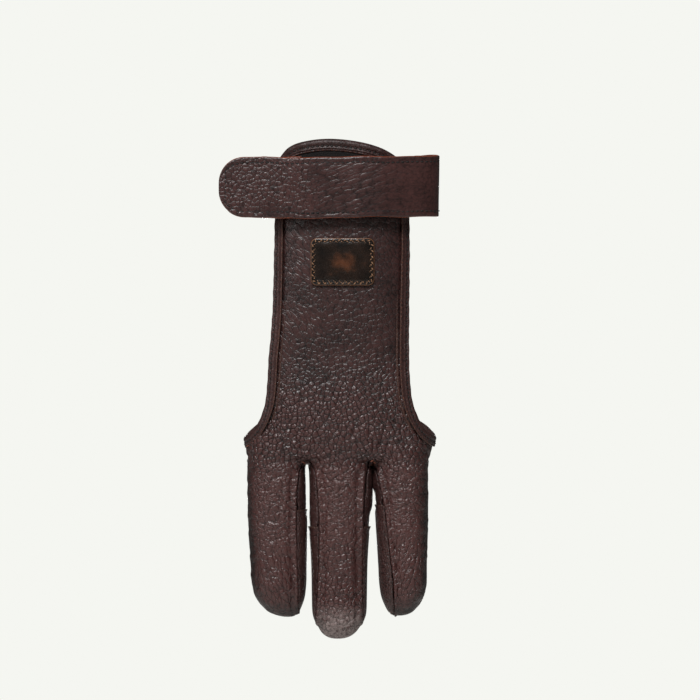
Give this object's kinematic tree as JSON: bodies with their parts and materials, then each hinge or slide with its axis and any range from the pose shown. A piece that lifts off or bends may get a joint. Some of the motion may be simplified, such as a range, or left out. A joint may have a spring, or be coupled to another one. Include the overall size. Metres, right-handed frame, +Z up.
{
  "type": "archery glove",
  "caption": "Leather shooting glove for one hand: pebbled back panel with finger stalls, bound hand opening, padded fingertips and a wrist strap with a hook-and-loop closure.",
  "frame": {"origin": "middle of the wrist strap's loop, where the wrist goes through", "axes": "+Z up along the forearm, -Y out of the back of the hand, +X towards the index finger's side"},
  "size_m": [0.0918, 0.0507, 0.2095],
  "materials": {
    "pebbled_leather": "pebbled, dark brown, satin",
    "smooth_leather": "smooth, dark brown, satin",
    "binding_leather": "smooth, dark brown, satin",
    "strap_leather": "pebbled, dark brown, satin, raw red-brown edges",
    "pad_leather": "smooth, dark brown, scuffed at the tips",
    "patch_leather": "waxed, dark brown, glossy",
    "loop_tape": "fuzzy, near black",
    "hook_tape": "coarse, near black"
  },
  "bodies": {
    "root": {"back_leather": "pebbled_leather", "palm_leather": "smooth_leather", "edge_binding": "binding_leather", "wrist_strap": "strap_leather", "leather_patch": "patch_leather", "loop_patch": "loop_tape", "hook_patch": "hook_tape", "ring_tip_pad": "pad_leather", "middle_tip_pad": "pad_leather", "index_tip_pad": "pad_leather"}
  },
  "joints": []
}
